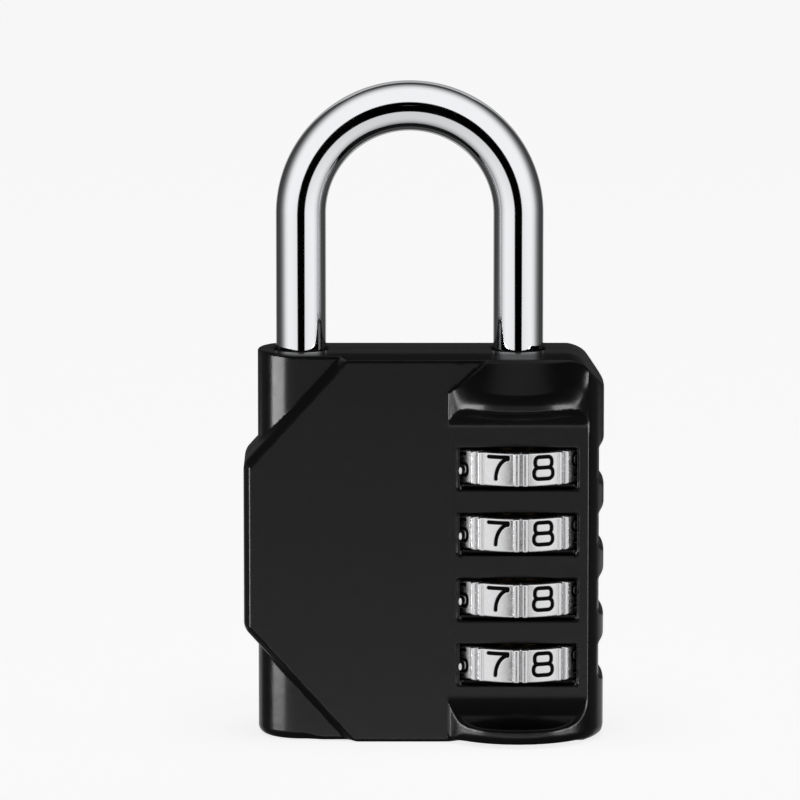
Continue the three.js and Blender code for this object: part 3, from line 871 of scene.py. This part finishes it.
def slot_of(node):
    for part in frame["record"]["subparts"]:
        if part["node"] == node:
            return part["material_slot"]
    return None


# ---- Stage ----

VIEW_ELEVATION = 9.5
VIEW_CENTRE = Vector((-0.00293, 0, 0.04135))
VIEW_WIDTH = 0.0978
LENS, SENSOR = 360, 36
TENT_RADIANCE, ROOM_RADIANCE = 1.04, 0.07


def direction(azimuth, elevation):
    """A unit vector from the padlock, azimuth 0 to the front and positive to the right."""
    a, e = math.radians(azimuth), math.radians(elevation)
    return Vector((math.sin(a) * math.cos(e), -math.cos(a) * math.cos(e), math.sin(e)))


def make_camera():
    data = bpy.data.cameras.new("camera")
    data.lens, data.sensor_width = LENS, SENSOR
    camera = bpy.data.objects.new("camera", data)
    bpy.context.scene.collection.objects.link(camera)
    back = direction(0, VIEW_ELEVATION)
    camera.location = VIEW_CENTRE + back * (VIEW_WIDTH * LENS / SENSOR)
    camera.rotation_euler = back.to_track_quat("Z", "Y").to_euler()
    bpy.context.scene.camera = camera


def soft_box(name, corner_a, corner_b, heights, radiance, receivers, tilt=0, diffuse=1.0):
    """A rectangular light over the ground line from corner_a to corner_b, in metres, that faces the padlock.
    It lights one group of pieces. A tilt in degrees turns it to face downwards."""
    a, b = Vector((*corner_a, 0)), Vector((*corner_b, 0))
    height = heights[1] - heights[0]
    data = bpy.data.lights.new(name, "AREA")
    data.shape, data.size, data.size_y = "RECTANGLE", (b - a).length, height
    data.energy = radiance * math.pi * data.size * data.size_y
    data.diffuse_factor = diffuse
    light = bpy.data.objects.new(name, data)
    bpy.context.scene.collection.objects.link(light)
    light.location = (a + b) / 2 + Vector((0, 0, sum(heights) / 2))
    across = (b - a).normalized()
    outward = across.cross(Vector((0, 0, 1)))
    if outward.dot(light.location) < 0:
        outward = -outward
    t = math.radians(tilt)
    facing = outward * math.cos(t) + Vector((0, 0, math.sin(t)))
    light.rotation_euler = facing.to_track_quat("Z", "Y").to_euler()
    light.visible_camera = False
    light.light_linking.receiver_collection = receivers


def tent_glow(off_axis, top_share):
    """How brightly the tent glows at an angle from the camera's direction, in degrees.
    top_share is 1 straight above the camera and -1 straight below."""
    above, below = max(top_share, 0), max(-top_share, 0)
    dark_edge = 16 - 1.5 * above + 11.5 * below**1.4
    stops = [(0, 0), (dark_edge, 0), (dark_edge + 2, 1)]
    fade_later = 14 * above**2
    for turn, level in ((62, 1), (76, 0.8), (88, 0.4), (101, 0.14)):
        stops.append((turn + fade_later, level))
    stops.append((125, 0.07))
    glow = float(np.interp(off_axis, *zip(*stops)))
    return glow * (1 - 0.3 * below**2)


def make_light_tent(receivers):
    """A round glowing tent that only the bright pieces mirror: dark round the camera, open at the back."""
    radius, sides = 0.85, 48
    back = direction(0, VIEW_ELEVATION)
    up = back.cross(Vector((1, 0, 0)))
    vertices, glow, faces = [], [], []
    turns = [1, *range(13, 31), *range(35, 111, 5)]
    for turn, k in itertools.product(turns, range(sides)):
        t, roll = math.radians(turn), 2 * math.pi * k / sides
        aside = up * math.cos(roll) + Vector((1, 0, 0)) * math.sin(roll)
        vertices.append(VIEW_CENTRE + (back * math.cos(t) + aside * math.sin(t)) * radius)
        glow.append(TENT_RADIANCE * tent_glow(turn, math.cos(roll)))
    for i, j in itertools.product(range(len(turns) - 1), range(sides)):
        k = (j + 1) % sides
        faces.append((i * sides + j, i * sides + k, (i + 1) * sides + k, (i + 1) * sides + j))
    tent = plain_object("light_tent", vertices, faces)
    tent.data.attributes.new("glow", "FLOAT", "POINT").data.foreach_set("value", glow)
    finish = Finish("tent_cloth", (0, 0, 0), 0.0, 1.0, 0.0)
    finish.set("Emission Color", (1, 1, 1, 1))
    finish.link(finish.attribute("glow"), finish.shader, "Emission Strength")
    tent.data.materials.append(finish.material)
    tent.visible_camera = False
    tent.visible_shadow = False
    tent.light_linking.receiver_collection = receivers


def make_studio_bowl():
    """A round pale floor that curves up into a wall. The camera sees it, and no piece mirrors it."""
    floor_radius, bend, wall_top, sides = 1.4, 0.4, 2.2, 96
    outline = [(0.02, 0.0), (0.1, 0.0), (0.3, 0.0)]
    for a in np.radians(np.linspace(0, 90, 13)):
        outline.append((floor_radius + bend * math.sin(a), bend * (1 - math.cos(a))))
    outline.append((floor_radius + bend, wall_top))
    vertices, faces = [(0, 0, 0)], [(0, 1 + (j + 1) % sides, 1 + j) for j in range(sides)]
    for radius, height in outline:
        for a in np.linspace(0, 2 * math.pi, sides, endpoint=False):
            vertices.append((radius * math.cos(a), -radius * math.sin(a), height))
    for i, j in itertools.product(range(len(outline) - 1), range(sides)):
        k, start = (j + 1) % sides, 1 + i * sides
        faces.append((start + j, start + k, start + sides + k, start + sides + j))
    bowl = plain_object("studio_bowl", vertices, faces)
    bowl.data.materials.append(pale_floor())
    bowl.visible_glossy = False
    bowl.visible_diffuse = False
    bowl.visible_shadow = False
    return bowl


def around(azimuth, distance):
    """A place on the ground, azimuth 0 to the front and positive to the right."""
    place = direction(azimuth, 0) * distance
    return place.x, place.y


def light_group(name, pieces):
    """The pieces that one set of lights lights."""
    group = bpy.data.collections.new(name)
    for obj in pieces:
        group.objects.link(obj)
    return group


def light_the_paint(pieces):
    """Narrow soft boxes left and right draw the upright highlights; the rest lift the black a little."""
    group = light_group("painted_pieces", pieces)
    for name, azimuths, radiance in (("left", (-83, -46), 26), ("right", (80, 46), 20)):
        ends = [around(azimuth, 0.6) for azimuth in azimuths]
        soft_box(name + "_strip", *ends, (-0.105, 0.03), radiance, group, diffuse=0.1)
    front = [around(azimuth, 0.7) for azimuth in (-45, 45)]
    soft_box("low_strip", *front, (-0.18, -0.125), 4.5, group)
    soft_box("front_fill", *front, (-0.125, 0), 1.0, group)
    soft_box("overhead", (-0.6, 0.12), (0.6, 0.12), (0.43, 1.07), 0.9, group, tilt=90)
    rear = [around(azimuth, 0.7) for azimuth in (-130, 130)]
    soft_box("rear_low", *rear, (-0.3, -0.07), 0.55, group)


def light_the_metal(pieces):
    """The tent wraps round the front and sides, and a dimmer wall stands behind."""
    group = light_group("bright_pieces", pieces)
    make_light_tent(group)
    rear = [around(azimuth, 0.7) for azimuth in (-150, 150)]
    soft_box("rear_wall", *rear, (-0.5, 0.6), TENT_RADIANCE * 0.6, group)


def light_the_floor(floor):
    group = light_group("floor_pieces", [floor])
    soft_box("floor_light", (-0.4, -0.2), (0.4, -0.2), (0.8, 1.6), 1.0, group, tilt=90)


def light_the_room():
    """A dim even light from everywhere."""
    world = bpy.data.worlds.new("room")
    world.use_nodes = True
    background = world.node_tree.nodes["Background"]
    background.inputs["Color"].default_value = (1, 1, 1, 1)
    background.inputs["Strength"].default_value = ROOM_RADIANCE
    bpy.context.scene.world = world
    bpy.context.scene.view_settings.view_transform = "Standard"


# ---- Make everything ----

cell = 0.25
paint, metal = black_paint(), chrome()
silver, enamel = satin_silver(), white_enamel()
make_camera()
floor = make_studio_bowl()
painted = build_case(paint, cell) + build_rivets(paint)
bright = build_shackle(metal, cell) + build_dials(silver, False) + build_marks(enamel)
bright += dress_inner_parts(
    plain_metal("brass", (0.62, 0.47, 0.2), 0.3), plain_metal("spring_steel", (0.42, 0.43, 0.45), 0.32)
)
light_the_paint(painted)
light_the_metal(bright)
light_the_floor(floor)
light_the_room()
